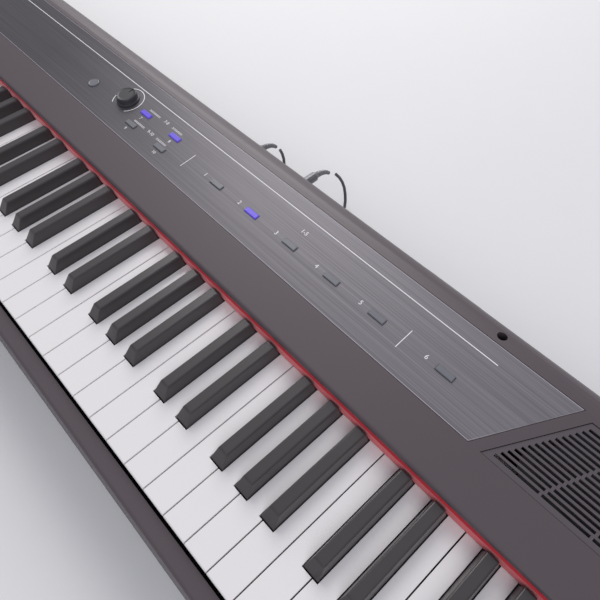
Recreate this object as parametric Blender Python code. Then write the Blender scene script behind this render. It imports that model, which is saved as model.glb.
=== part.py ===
"""A slim 88-key digital piano as separate pieces. Metres, +X along the keys to the treble, +Y to the rear, +Z up."""

import math

import bmesh
import bpy
from mathutils import Matrix, Vector

# Case
LENGTH = 1.280
DEPTH = 0.295
WALL = 0.003
GAP = 0.0003
FLOOR_Z = 0.004
PARTING_Z = 0.030
KEYSLIP_Z = 0.060
KEYSLIP_LEAN = 0.004
LIP_Y = 0.0095
LIP_Z = 0.083
LIP_RADIUS = 0.003
LIP_WALL_Z = 0.0675
DECK_SLOPE = 0.0935
BULLNOSE_RADIUS = 0.026
FRONT_RADIUS = 0.005
BOTTOM_CHAMFER = 0.009
BOTTOM_THICKNESS = 0.0025

# Keyboard
KEY_PITCH = 0.0235
KEY_GAP = 0.0010
WHITE_KEYS = 52
WHITE_TOP_Z = 0.065
WHITE_FRONT_Y = -0.1275
WHITE_WALL = 0.0018
WHITE_PLATE = 0.0025
WHITE_SKIRT = 0.012
WHITE_FRONT_SKIRT = 0.016
SHARP_FRONT_Y = -0.0799
SHARP_BASE_WIDTH = 0.013
SHARP_TOP_WIDTH = 0.0088
SHARP_HEIGHT = 0.0108
SHARP_SLOT_GAP = 0.0006
SHARP_REAR_Y = 0.0084
SHARP_STEM_DROP = 0.0006
HINGE_Y = 0.0545
HINGE_Z = 0.058
SPINE_DEPTH = 0.0042
KEYSLIP_DEPTH = 0.0135
KEY_FRONT_GAP = 0.0025

# Felt strip under the lip
FELT_THICKNESS = 0.003
FELT_BOTTOM_GAP = 0.001
FELT_HEIGHT = 0.009

# Control panel, in the deck's own frame: x, distance up the deck from the lip, height over the deck
PANEL_FRONT_V = 0.0393
PANEL_REAR_V = 0.1100
PANEL_FRONT_HALF = 0.4588
PANEL_SPREAD = 0.564
PANEL_THICKNESS = 0.0013
PANEL_SINK = 0.0002
PANEL_EDGE_GAP = 0.0004
BUTTON_LENGTH = 0.0150
BUTTON_WIDTH = 0.0052
BUTTON_HEIGHT = 0.0010
BUTTON_TRAVEL = 0.0008
BUTTON_ROW_V = 0.0664
VOICE_X = 0.1544
VOICE_PITCH = 0.04935
VOICE_BUTTONS = 5
SPLIT_X = 0.4172
MODE_X = 0.0258
MODE_PITCH = 0.0497
MODE_ROWS = (0.0765, 0.0577)
POWER_X = -0.0600
POWER_RADIUS = 0.0060
KNOB_X = -0.0075
KNOB_V = 0.0764
KNOB_RADIUS = 0.0120
KNOB_HEIGHT = 0.0075
SHAFT_RADIUS = 0.0030
BOARD_DROP = 0.0066
BOARD_THICKNESS = 0.0016
MUSIC_REST_X = 0.427
MUSIC_REST_Y = 0.127
MUSIC_REST_RADIUS = 0.004

# Speaker grilles and drivers, in the deck's own frame
GRILLE_FRONT_V = 0.0392
GRILLE_REAR_V = 0.1060
GRILLE_INNER_X = 0.4684
GRILLE_OUTER_X = 0.6220
GRILLE_SPREAD = 0.575
GRILLE_SINK = 0.0006
GRILLE_PLATE = 0.0014
GRILLE_WALL = 0.0016
GRILLE_FLANGE = 0.0030
SLOT_PITCH = 0.0040
SLOT_WIDTH = 0.0022
SLOT_ROWS = 15
SLOTS_IN_ROW = 4
CROSS_RIB = 0.0020
SPEAKER_X = 0.552
SPEAKER_HALF_LENGTH = 0.064
SPEAKER_HALF_WIDTH = 0.0325
SPEAKER_DEPTH = 0.031

# Sockets in the rear wall
SOCKET_Z = 0.055
SOCKET_LENGTH = 0.028
POWER_SOCKET_X = 0.1815
AUDIO_SOCKET_X = 0.1135
SPARE_SOCKETS = (-0.030, 0.005, 0.040)
JACK_RADIUS = 0.0035
BARREL_RADIUS = 0.0031
SOCKET_OPENING = 0.0056

# Feet
FOOT_RADIUS = 0.011
FOOT_X = 0.560
FOOT_Y = 0.110

# Cords
CORD_RADIUS = 0.0016
HANK_LENGTH = 0.085
HANK_WIDTH = 0.029
HANK_HEIGHT = 0.0112
HANK_Y = 0.1675

KEYBOARD_HALF = KEY_PITCH * WHITE_KEYS / 2
WELL_HALF = KEYBOARD_HALF + 0.0006
FRONT_Y = -DEPTH / 2
REAR_Y = DEPTH / 2
HALF = LENGTH / 2
KEYSLIP_REAR_Y = WHITE_FRONT_Y - KEY_FRONT_GAP
KEYSLIP_FRONT_Y = KEYSLIP_REAR_Y - KEYSLIP_DEPTH
DECK_ANGLE = math.atan(DECK_SLOPE)
OCTAVE = 7 * KEY_PITCH
# Left edge of each natural and centre of each sharp within an octave that starts on C.
SHARP_OFFSETS = {"Cs": 0.02115, "Ds": 0.04935, "Fs": 0.09064, "Gs": 0.1175, "As": 0.14436}
NATURAL_NAMES = ("C", "D", "E", "F", "G", "A", "B")
LEFT_SHARP = {"D": "Cs", "E": "Ds", "G": "Fs", "A": "Gs", "B": "As"}
RIGHT_SHARP = {"C": "Cs", "D": "Ds", "F": "Fs", "G": "Gs", "A": "As"}


# Solids are (vertices, faces) pairs; a piece is made from one or more of them.


def box(x0, x1, y0, y1, z0, z1):
    return prism([(x0, y0), (x1, y0), (x1, y1), (x0, y1)], "Z", z0, z1)


def prism(profile, axis, low, high):
    """A closed profile pushed along an axis. A profile point is (y, z) for X and (x, y) for Z."""
    count = len(profile)
    place = {"X": lambda p, t: (t, p[0], p[1]), "Z": lambda p, t: (p[0], p[1], t)}[axis]
    vertices = [place(p, low) for p in profile] + [place(p, high) for p in profile]
    faces = [list(range(count)), list(range(2 * count - 1, count - 1, -1))]
    for i in range(count):
        j = (i + 1) % count
        faces.append([i, i + count, j + count, j])
    return vertices, faces


def loft(rings):
    """Rings with the same number of points joined in order, and the two ends closed."""
    count = len(rings[0])
    vertices = [point for ring in rings for point in ring]
    faces = [list(range(count)), list(range(len(vertices) - 1, len(vertices) - count - 1, -1))]
    for k in range(len(rings) - 1):
        for i in range(count):
            j = (i + 1) % count
            faces.append([k * count + i, k * count + j, (k + 1) * count + j, (k + 1) * count + i])
    return vertices, faces


def ring(centre, radius_a, radius_b, segments, along="Z", power=2.0, tilt=0.0):
    """One closed ring round an axis: a circle, an oval or, at a higher power, a rounded rectangle."""
    points = []
    for i in range(segments):
        angle = 2 * math.pi * (i + 0.5) / segments
        c, s = math.cos(angle), math.sin(angle)
        a = radius_a * math.copysign(abs(c) ** (2 / power), c)
        b = radius_b * math.copysign(abs(s) ** (2 / power), s)
        point = {"Z": Vector((a, b, 0)), "Y": Vector((a, 0, b)), "X": Vector((0, a, b))}[along]
        point.rotate(Matrix.Rotation(tilt, 3, "Y" if along == "X" else "X"))
        points.append(tuple(Vector(centre) + point))
    return points


def turned(profile, segments, along="Z", centre=(0, 0, 0)):
    """A profile of (radius, distance along the axis) turned round that axis."""
    step = {"X": Vector((1, 0, 0)), "Y": Vector((0, 1, 0)), "Z": Vector((0, 0, 1))}[along]
    rings = [ring(Vector(centre) + step * t, r, r, segments, along) for r, t in profile]
    return loft(rings)


def mirrored(solid):
    return [(-x, y, z) for x, y, z in solid[0]], [face[::-1] for face in solid[1]]


def rounded(corners, segments=4):
    """A closed outline with each corner (a, b, radius) replaced by an arc of that radius."""
    points = []
    for i, (a, b, radius) in enumerate(corners):
        here = Vector((a, b))
        before = (Vector(corners[i - 1][:2]) - here).normalized()
        after = (Vector(corners[(i + 1) % len(corners)][:2]) - here).normalized()
        if radius == 0:
            points.append((a, b))
            continue
        half = before.angle(after) / 2
        centre = here + (before + after).normalized() * (radius / math.sin(half))
        start = here + before * (radius / math.tan(half)) - centre
        end = here + after * (radius / math.tan(half)) - centre
        first = math.atan2(start.y, start.x)
        sweep = (math.atan2(end.y, end.x) - first + math.pi) % (2 * math.pi) - math.pi
        for k in range(segments + 1):
            turn = first + sweep * k / segments
            points.append((centre.x + radius * math.cos(turn), centre.y + radius * math.sin(turn)))
    return points


def inset(outline, distance):
    """The outline moved inwards (counter-clockwise outlines) with square corners."""
    count = len(outline)
    points = []
    for i in range(count):
        before, here, after = (Vector(outline[(i + k) % count]) for k in (-1, 0, 1))
        along_a = (here - before).normalized()
        along_b = (after - here).normalized()
        normal_a = Vector((-along_a.y, along_a.x))
        normal_b = Vector((-along_b.y, along_b.x))
        bisector = (normal_a + normal_b).normalized()
        points.append(tuple(here + bisector * (distance / bisector.dot(normal_a))))
    return points


def mesh_from(name, solids, origin):
    vertices = []
    faces = []
    for points, polygons in solids:
        base = len(vertices)
        vertices += [tuple(Vector(p) - Vector(origin)) for p in points]
        faces += [[base + i for i in face] for face in polygons]
    mesh = bpy.data.meshes.new(name)
    mesh.from_pydata(vertices, [], faces)
    work = bmesh.new()
    work.from_mesh(mesh)
    bmesh.ops.recalc_face_normals(work, faces=work.faces)
    for edge in work.edges:
        edge.smooth = edge.calc_face_angle(0) < math.radians(38)
    for face in work.faces:
        face.smooth = True
    work.to_mesh(mesh)
    work.free()
    return mesh


def piece(name, solids, material, parent=None, origin=(0, 0, 0)):
    """A named object; its origin is the point about which or along which it moves."""
    obj = bpy.data.objects.new(name, mesh_from(name, solids, origin))
    bpy.context.scene.collection.objects.link(obj)
    obj.location = origin
    obj.parent = parent
    obj.data.materials.append(material)
    return obj


def boolean(target, solids, operation, parent=None):
    """Cuts the solids from the target, or fuses them with it; the helper object isn't rendered."""
    helper = piece(f"{target.name}_{operation.lower()}_{len(target.modifiers)}", solids, target.data.materials[0], parent)
    helper.hide_render = True
    helper.display_type = "WIRE"
    modifier = target.modifiers.new(operation.lower(), "BOOLEAN")
    modifier.operation = operation
    modifier.solver = "EXACT"
    modifier.object = helper


def cut(target, solids, parent=None):
    boolean(target, solids, "DIFFERENCE", parent)


def fuse(target, solids, parent=None):
    boolean(target, solids, "UNION", parent)


def empty(name, location, rotation=(0, 0, 0)):
    obj = bpy.data.objects.new(name, None)
    obj.location = location
    obj.rotation_euler = rotation
    obj.empty_display_size = 0.02
    bpy.context.scene.collection.objects.link(obj)
    return obj


# Materials


def surface(name, colour, roughness, metallic=0.0, glow=0.0):
    material = bpy.data.materials.new(name)
    material.use_nodes = True
    shader = material.node_tree.nodes["Principled BSDF"]
    shader.inputs["Base Color"].default_value = (*colour, 1.0)
    shader.inputs["Roughness"].default_value = roughness
    shader.inputs["Metallic"].default_value = metallic
    if glow:
        shader.inputs["Emission Color"].default_value = (*colour, 1.0)
        shader.inputs["Emission Strength"].default_value = glow
    return material


def case_plastic(name):
    return surface(name, (0.095, 0.076, 0.090), 0.5)


def white_plastic(name):
    return surface(name, (0.85, 0.83, 0.84), 0.3)


def black_plastic(name):
    return surface(name, (0.105, 0.095, 0.100), 0.42)


def brushed_panel(name):
    return surface(name, (0.22, 0.21, 0.25), 0.35, 0.8)


def red_felt(name):
    return surface(name, (0.72, 0.045, 0.065), 0.95)


def grille_plastic(name):
    return surface(name, (0.12, 0.105, 0.115), 0.45)


def button_plastic(name):
    return surface(name, (0.28, 0.29, 0.31), 0.35)


def lit_plastic(name):
    return surface(name, (0.16, 0.10, 0.80), 0.3, 0.0, 0.6)


def board_laminate(name):
    return surface(name, (0.03, 0.16, 0.07), 0.55)


def zinc_steel(name):
    return surface(name, (0.45, 0.46, 0.47), 0.35, 0.9)


def driver_black(name):
    return surface(name, (0.03, 0.03, 0.032), 0.6)


def rubber(name):
    return surface(name, (0.03, 0.03, 0.03), 0.85)


def cord_rubber(name):
    return surface(name, (0.06, 0.055, 0.06), 0.5)


def knob_plastic(name):
    return surface(name, (0.05, 0.05, 0.055), 0.4)


# Case


def deck_z(y):
    return LIP_Z + DECK_SLOPE * (y - LIP_Y)


def bullnose_centre():
    """The centre of the rear edge's round, which meets the deck and the rear face smoothly."""
    y = REAR_Y - BULLNOSE_RADIUS
    tangent_y = y - BULLNOSE_RADIUS * math.sin(DECK_ANGLE)
    return y, deck_z(tangent_y) - BULLNOSE_RADIUS * math.cos(DECK_ANGLE)


def bullnose(radius, segments=9):
    """The rear round from the rear face up to the deck, at a given radius."""
    y, z = bullnose_centre()
    sweep = math.pi / 2 + DECK_ANGLE
    turns = [sweep * k / segments for k in range(segments + 1)]
    return [(y + radius * math.cos(t), z + radius * math.sin(t)) for t in turns]


def upper_profile():
    """The side view of the case above its parting line, counter-clockwise from the front."""
    lower_front = (FRONT_Y, PARTING_Z + GAP / 2, 0)
    top_front_y = KEYSLIP_FRONT_Y + KEYSLIP_LEAN * 0.3
    top_front = (top_front_y, deck_z(top_front_y), FRONT_RADIUS)
    rear = [(y, z, 0) for y, z in bullnose(BULLNOSE_RADIUS)]
    return rounded([lower_front, (REAR_Y, PARTING_Z + GAP / 2, 0), *rear, top_front])


def well_profile():
    """What is cut away over the keys, leaving the keyslip, the rounded lip and the wall under it."""
    wall_y = LIP_Y + LIP_RADIUS
    nose_z = deck_z(wall_y) - LIP_RADIUS
    edge = KEYSLIP_Z - LIP_RADIUS
    lean = KEYSLIP_LEAN * (LIP_RADIUS / (KEYSLIP_Z - PARTING_Z))
    front = KEYSLIP_FRONT_Y - lean
    points = [(front - 0.02, edge)]
    for k in range(5):
        turn = math.pi - k * math.pi / 8
        points.append((front + LIP_RADIUS + LIP_RADIUS * math.cos(turn), edge + LIP_RADIUS * math.sin(turn)))
    below = PARTING_Z - 0.01
    points += [(KEYSLIP_REAR_Y, KEYSLIP_Z), (KEYSLIP_REAR_Y, below)]
    points += [(wall_y + WALL + 0.001, below), (wall_y + WALL + 0.001, LIP_WALL_Z), (wall_y, LIP_WALL_Z)]
    for k in range(9):
        turn = -math.pi / 2 - k * math.pi / 8
        points.append((wall_y + LIP_RADIUS * math.cos(turn), nose_z + LIP_RADIUS * math.sin(turn)))
    points += [(wall_y, LIP_Z + 0.03), (front - 0.02, LIP_Z + 0.03)]
    return points


def hollow_profile(front_y):
    """The space inside the walls behind a given front plane, open downwards."""
    below = PARTING_Z - 0.01
    inner = bullnose(BULLNOSE_RADIUS - WALL)
    ceiling = deck_z(front_y) - WALL / math.cos(DECK_ANGLE)
    return [(front_y, below), (REAR_Y - WALL, below), *inner, (front_y, ceiling)]


def keyslip_hollow():
    below = PARTING_Z - 0.01
    inner_front = KEYSLIP_FRONT_Y + WALL
    top = KEYSLIP_Z - WALL
    return [(inner_front - KEYSLIP_LEAN, below), (KEYSLIP_REAR_Y - WALL, below), (KEYSLIP_REAR_Y - WALL, top), (inner_front, top)]


def cheek_hollow():
    """The space inside one end block in front of the lip wall."""
    below = PARTING_Z - 0.01
    inner_front = KEYSLIP_FRONT_Y + WALL
    rear_y = LIP_Y + LIP_RADIUS + 2 * WALL
    return [
        (inner_front - KEYSLIP_LEAN, below),
        (rear_y, below),
        (rear_y, deck_z(rear_y) - 1.3 * WALL),
        (inner_front, deck_z(inner_front) - 2 * WALL),
    ]


def panel_outline(grow=0.0):
    """The control panel's outline on the deck, wider at the rear."""
    rear_half = PANEL_FRONT_HALF + PANEL_SPREAD * (PANEL_REAR_V - PANEL_FRONT_V)
    outline = [(-PANEL_FRONT_HALF, PANEL_FRONT_V), (PANEL_FRONT_HALF, PANEL_FRONT_V), (rear_half, PANEL_REAR_V), (-rear_half, PANEL_REAR_V)]
    return inset(outline, -grow)


def grille_outline(grow=0.0):
    rear_x = GRILLE_INNER_X + GRILLE_SPREAD * (GRILLE_REAR_V - GRILLE_FRONT_V)
    outline = [(GRILLE_INNER_X, GRILLE_FRONT_V), (GRILLE_OUTER_X, GRILLE_FRONT_V), (GRILLE_OUTER_X, GRILLE_REAR_V), (rear_x, GRILLE_REAR_V)]
    return inset(outline, -grow)


def button_places():
    """The name and the deck position of every rectangular button."""
    places = [(f"voice_button_{i + 1}", VOICE_X + i * VOICE_PITCH, BUTTON_ROW_V) for i in range(VOICE_BUTTONS)]
    places.append(("split_button", SPLIT_X, BUTTON_ROW_V))
    for row, v in enumerate(MODE_ROWS):
        for column in range(2):
            places.append((f"mode_button_{2 * row + column + 1}", MODE_X + column * MODE_PITCH, v))
    return places


def control_holes(low, high):
    """Cutters for the buttons' and the knob's holes between two heights of the deck's frame."""
    half_x = BUTTON_LENGTH / 2 + GAP
    half_v = BUTTON_WIDTH / 2 + GAP
    holes = [box(x - half_x, x + half_x, v - half_v, v + half_v, low, high) for _, x, v in button_places()]
    holes.append(turned([(POWER_RADIUS + GAP, low), (POWER_RADIUS + GAP, high)], 24, centre=(POWER_X, BUTTON_ROW_V, 0)))
    holes.append(turned([(SHAFT_RADIUS + 2 * GAP, low), (SHAFT_RADIUS + 2 * GAP, high)], 20, centre=(KNOB_X, KNOB_V, 0)))
    return holes


BOARD_POSTS = [(x, v) for x in (-0.082, 0.110, 0.378, 0.440) for v in (0.052, 0.096)]
CASE_BOSSES = [(x, REAR_Y - 0.0135) for x in (-0.590, -0.300, -0.110, 0.260, 0.590)]
BOSS_RADIUS = 0.0045
RIB_X = (-0.450, -0.370, -0.200, 0.458)


def case_top_parts(deck):
    """Posts for the board, screw bosses, ribs and the tubes for a music rest, all under the deck."""
    posts = [turned([(0.003, GAP - BOARD_DROP), (0.003, -WALL / 2)], 12, centre=(x, v, 0)) for x, v in BOARD_POSTS]
    ribs = []
    rib_front = LIP_Y + LIP_RADIUS + WALL / 2
    rib_rear = REAR_Y - BULLNOSE_RADIUS + 0.004
    underside = -WALL / 2
    rib_foot = WHITE_TOP_Z + 0.0085
    for x in RIB_X:
        outline = [(rib_front, rib_foot), (rib_rear, rib_foot), (rib_rear, deck_z(rib_rear) + underside), (rib_front, deck_z(rib_front) + underside)]
        ribs.append(prism(outline, "X", x - 0.001, x + 0.001))
    boss_top = bullnose_centre()[1] + BULLNOSE_RADIUS * 0.80
    bosses = [turned([(BOSS_RADIUS, PARTING_Z + GAP), (BOSS_RADIUS, boss_top)], 14, centre=(x, y, 0)) for x, y in CASE_BOSSES]
    sleeve_top = bullnose_centre()[1] + BULLNOSE_RADIUS - 0.9 * WALL
    sleeve_radius = MUSIC_REST_RADIUS + WALL / 2
    sleeves = [turned([(sleeve_radius, WHITE_TOP_Z), (sleeve_radius, sleeve_top)], 18, centre=(s * MUSIC_REST_X, MUSIC_REST_Y, 0)) for s in (-1, 1)]
    return posts, ribs + bosses + sleeves


def make_case_top(deck):
    top = piece("case_top", [prism(upper_profile(), "X", -HALF, HALF)], case_plastic("case_top"))
    cut(top, [prism(hollow_profile(LIP_Y + LIP_RADIUS + WALL), "X", WALL - HALF, HALF - WALL)])
    cheek = prism(cheek_hollow(), "X", WELL_HALF + WALL, HALF - 1.1 * WALL)
    cut(top, [cheek, mirrored(cheek)])
    cut(top, [prism(well_profile(), "X", -WELL_HALF, WELL_HALF)])
    ribs_x = [-WELL_HALF, *(WELL_HALF * (k - 2.5) / 3 for k in range(6)), WELL_HALF]
    bays = [(a + WALL / 2, b - WALL / 2) for a, b in zip(ribs_x, ribs_x[1:])]
    cut(top, [prism(keyslip_hollow(), "X", a, b) for a, b in bays])
    posts, hanging = case_top_parts(deck)
    fuse(top, posts, deck)
    fuse(top, hanging)
    pocket = PANEL_SINK + PANEL_THICKNESS + GAP
    cut(top, [prism(panel_outline(PANEL_EDGE_GAP), "Z", -pocket, 0.01)], deck)
    cut(top, control_holes(-WALL - 0.001, 0.01), deck)
    grille = prism(grille_outline(), "Z", -WALL - 0.001, 0.01)
    cut(top, [grille, mirrored(grille)], deck)
    rest = turned([(MUSIC_REST_RADIUS, WHITE_TOP_Z - 0.005), (MUSIC_REST_RADIUS, LIP_Z + 0.03)], 20, centre=(MUSIC_REST_X, MUSIC_REST_Y, 0))
    cut(top, [rest, mirrored(rest)])
    sockets = [POWER_SOCKET_X, AUDIO_SOCKET_X, *SPARE_SOCKETS]
    openings = [turned([(SOCKET_OPENING, REAR_Y - 2 * WALL), (SOCKET_OPENING, REAR_Y + WALL)], 20, "Y", (x, 0, SOCKET_Z)) for x in sockets]
    cut(top, openings)
    return top


def bottom_profile():
    edge = PARTING_Z - GAP / 2
    chamfer = BOTTOM_CHAMFER
    corners = [(FRONT_Y + chamfer, FLOOR_Z), (REAR_Y - chamfer, FLOOR_Z), (REAR_Y, FLOOR_Z + chamfer), (REAR_Y, edge), (FRONT_Y, edge), (FRONT_Y, FLOOR_Z + chamfer)]
    return corners


BED_LENGTH_HALF = KEYBOARD_HALF - 0.002
BED_FRONT_Y = WHITE_FRONT_Y + 0.0065
BED_FLOOR_Z = 0.0315
BED_THICKNESS = 0.0025
BED_POSTS = [(x, y) for x in (-0.52, -0.26, 0.0, 0.26, 0.52) for y in (-0.095, 0.038)]


def make_case_bottom():
    tray = bottom_profile()
    inner = inset(tray, BOTTOM_THICKNESS)
    inner = [(y, z + (0.02 if z > PARTING_Z - 0.006 else 0)) for y, z in inner]
    bottom = piece("case_bottom", [prism(tray, "X", -HALF, HALF)], case_plastic("case_bottom"))
    cut(bottom, [prism(inner, "X", BOTTOM_THICKNESS - HALF, HALF - BOTTOM_THICKNESS)])
    inside = FLOOR_Z + BOTTOM_THICKNESS / 2
    ribs = [box(-HALF + 0.001, HALF - 0.001, y - 0.001, y + 0.001, inside, inside + 0.009) for y in (-0.07, 0.0, 0.08)]
    fuse(bottom, ribs)
    cross = [box(x - 0.001, x + 0.001, FRONT_Y + 0.008, REAR_Y - 0.008, inside, inside + 0.008) for x in (-0.45, -0.15, 0.15, 0.45)]
    fuse(bottom, cross)
    bosses = [turned([(BOSS_RADIUS, inside), (BOSS_RADIUS, PARTING_Z)], 14, centre=(x, y, 0)) for x, y in CASE_BOSSES]
    bed_under = BED_FLOOR_Z - BED_THICKNESS / 2 - GAP
    posts = [turned([(0.006, inside), (0.005, bed_under)], 14, centre=(x, y, 0)) for x, y in BED_POSTS]
    boards = [turned([(0.0035, inside), (0.003, JACK_BOARD_Z - GAP)], 12, centre=(x, y, 0)) for x, y in JACK_POSTS]
    fuse(bottom, bosses + posts + boards)
    seats = []
    for x, y in foot_places():
        seats.append(turned([(FOOT_RADIUS + 0.0005, 0), (FOOT_RADIUS + 0.0005, FLOOR_Z + 0.001)], 24, centre=(x, y, 0)))
    cut(bottom, seats)
    return bottom


def foot_places():
    return [(sx * FOOT_X, sy * FOOT_Y) for sx in (-1, 1) for sy in (-1, 1)]


def make_feet():
    top = FLOOR_Z + 0.001 - GAP
    r = FOOT_RADIUS
    for number, (x, y) in enumerate(foot_places(), 1):
        profile = [(r - 0.0012, 0), (r - 0.0003, 0.0005), (r, 0.0015), (r, top)]
        piece(f"foot_{number}", [turned(profile, 24, centre=(x, y, 0))], rubber(f"foot_{number}"))


# Deck pieces


def make_control_panel(deck):
    plate = prism(panel_outline(), "Z", -PANEL_SINK - PANEL_THICKNESS, -PANEL_SINK)
    panel = piece("control_panel", [plate], brushed_panel("control_panel"), deck)
    cut(panel, control_holes(-0.01, 0.01), deck)


def make_button(name, x, v, deck, material):
    """A cap with a bevelled crown, a flange that stops under the deck and a stem over its switch."""
    half_x, half_v = BUTTON_LENGTH / 2, BUTTON_WIDTH / 2
    flange_top = -WALL - GAP
    flange_foot = flange_top - 0.001
    levels = [
        (0.0015, 0.0015, -BOARD_DROP + 0.0014),
        (0.0015, 0.0015, flange_foot),
        (half_x + 0.0015, half_v + 0.0015, flange_foot),
        (half_x + 0.0015, half_v + 0.0015, flange_top),
        (half_x, half_v, flange_top),
        (half_x, half_v, BUTTON_HEIGHT - 0.0005),
        (half_x - 0.0006, half_v - 0.0006, BUTTON_HEIGHT),
    ]
    rings = [[(x + a, v + b, n), (x - a, v + b, n), (x - a, v - b, n), (x + a, v - b, n)] for a, b, n in levels]
    piece(name, [loft(rings)], material, deck, origin=(x, v, 0))


def make_buttons(deck):
    lit = ("voice_button_2", "mode_button_1", "mode_button_2")
    for name, x, v in button_places():
        material = lit_plastic(name) if name in lit else button_plastic(name)
        make_button(name, x, v, deck, material)


def make_power_button(deck):
    r = POWER_RADIUS
    flange_top = -WALL - GAP
    profile = [
        (0.002, -BOARD_DROP + 0.0014),
        (0.002, flange_top - 0.001),
        (r + 0.0015, flange_top - 0.001),
        (r + 0.0015, flange_top),
        (r, flange_top),
        (r, BUTTON_HEIGHT - 0.0005),
        (r - 0.0007, BUTTON_HEIGHT),
        (r - 0.0015, BUTTON_HEIGHT - 0.0002),
    ]
    cap = turned(profile, 24, centre=(POWER_X, BUTTON_ROW_V, 0))
    piece("power_button", [cap], button_plastic("power_button"), deck, origin=(POWER_X, BUTTON_ROW_V, 0))


def make_volume_knob(deck):
    r, h = KNOB_RADIUS, KNOB_HEIGHT
    foot = GAP - PANEL_SINK
    profile = [
        (SHAFT_RADIUS, -BOARD_DROP - BOARD_THICKNESS),
        (SHAFT_RADIUS, foot),
        (r, foot),
        (r, 0.2 * h),
        (r - 0.0009, 0.28 * h),
        (r - 0.0016, h - 0.0009),
        (r - 0.0026, h),
        (r - 0.0045, h - 0.0003),
    ]
    knob = piece("volume_knob", [turned(profile, 28, centre=(KNOB_X, KNOB_V, 0))], knob_plastic("volume_knob"), deck, origin=(KNOB_X, KNOB_V, 0))
    notch = box(KNOB_X - 0.0006, KNOB_X + 0.0006, KNOB_V + 0.3 * r, KNOB_V + r + 0.001, h - 0.0008, h + 0.001)
    cut(knob, [notch], deck)


def make_control_board(deck):
    top = -BOARD_DROP
    foot = top - BOARD_THICKNESS
    board = piece("control_board", [box(-0.088, 0.446, 0.047, 0.101, foot, top)], board_laminate("control_board"), deck)
    inside = top - BOARD_THICKNESS / 2
    switches = [box(x - 0.003, x + 0.003, v - 0.003, v + 0.003, inside, top + 0.0003) for _, x, v in button_places()]
    switches.append(box(POWER_X - 0.003, POWER_X + 0.003, BUTTON_ROW_V - 0.003, BUTTON_ROW_V + 0.003, inside, top + 0.0003))
    chips = [box(x, x + 0.014, 0.080, 0.094, inside, top + 0.0012) for x in (0.15, 0.21, 0.27)]
    pot = box(KNOB_X - 0.006, KNOB_X + 0.006, KNOB_V - 0.006, KNOB_V + 0.006, inside, -WALL - 2 * GAP)
    fuse(board, [*switches, *chips, pot])
    shaft = turned([(SHAFT_RADIUS + GAP, foot - 0.001), (SHAFT_RADIUS + GAP, 0)], 20, centre=(KNOB_X, KNOB_V, 0))
    cut(board, [shaft])
    board.modifiers[-1].object.parent = deck
    board.modifiers[0].object.parent = deck


def grille_slots():
    """Rows of slots along the keyboard, each row split by cross ribs and following the slanted inner end."""
    slots = []
    first_v = (GRILLE_FRONT_V + GRILLE_REAR_V - SLOT_PITCH * (SLOT_ROWS - 1)) / 2
    for row in range(SLOT_ROWS):
        v = first_v + row * SLOT_PITCH
        start = GRILLE_INNER_X + GRILLE_SPREAD * (v - GRILLE_FRONT_V) + GRILLE_WALL + 0.0030
        end = GRILLE_OUTER_X - GRILLE_WALL - 0.0020
        length = (end - start) / SLOTS_IN_ROW
        for k in range(SLOTS_IN_ROW):
            x0 = start + k * length
            x1 = x0 + length - CROSS_RIB
            slots.append(box(x0, x1, v - SLOT_WIDTH / 2, v + SLOT_WIDTH / 2, -0.01, 0.01))
    return slots


def make_grille(name, side, deck):
    """A slotted tray that rises into its opening in the deck and stops on a flange under it."""
    def sided(solid):
        return solid if side > 0 else mirrored(solid)

    foot = -WALL - GAP - 0.0012
    body = prism(grille_outline(-PANEL_EDGE_GAP), "Z", foot, -GRILLE_SINK)
    grille = piece(name, [sided(body)], grille_plastic(name), deck)
    fuse(grille, [sided(prism(grille_outline(GRILLE_FLANGE), "Z", foot, -WALL - GAP))], deck)
    cut(grille, [sided(prism(grille_outline(-GRILLE_WALL), "Z", foot - 0.001, -GRILLE_SINK - GRILLE_PLATE))], deck)
    cut(grille, [sided(slot) for slot in grille_slots()], deck)


def make_speaker(name, side, deck):
    """An oval full-range driver: mounting frame, surround, cone and dust cap, basket and magnet."""
    a, b = SPEAKER_HALF_LENGTH, SPEAKER_HALF_WIDTH
    top = -WALL - 2 * GAP - 0.0012
    levels = [
        (0.10 * a, 0.20 * b, -0.0075, 2.0),
        (0.20 * a, 0.38 * b, -0.0095, 2.0),
        (0.80 * a, 0.68 * b, -0.0020, 2.0),
        (0.84 * a, 0.74 * b, -0.0008, 2.2),
        (0.88 * a, 0.82 * b, -0.0018, 2.5),
        (0.90 * a, 0.86 * b, 0.0, 3.0),
        (a, b, 0.0, 5.0),
        (a, b, -0.0016, 5.0),
        (0.90 * a, 0.86 * b, -0.0018, 3.0),
        (0.80 * a, 0.80 * b, -0.0060, 2.4),
        (0.30 * a, 0.54 * b, -0.0160, 2.0),
        (0.29 * a, 0.53 * b, -0.0180, 2.0),
        (0.27 * a, 0.50 * b, -SPEAKER_DEPTH, 2.0),
    ]
    centre_v = (GRILLE_FRONT_V + GRILLE_REAR_V) / 2
    x = side * SPEAKER_X
    rings = [ring((x, centre_v, top + n), ra, rb, 20, "Z", p) for ra, rb, n, p in levels]
    piece(name, [loft(rings)], driver_black(name), deck)


# Keyboard


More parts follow.
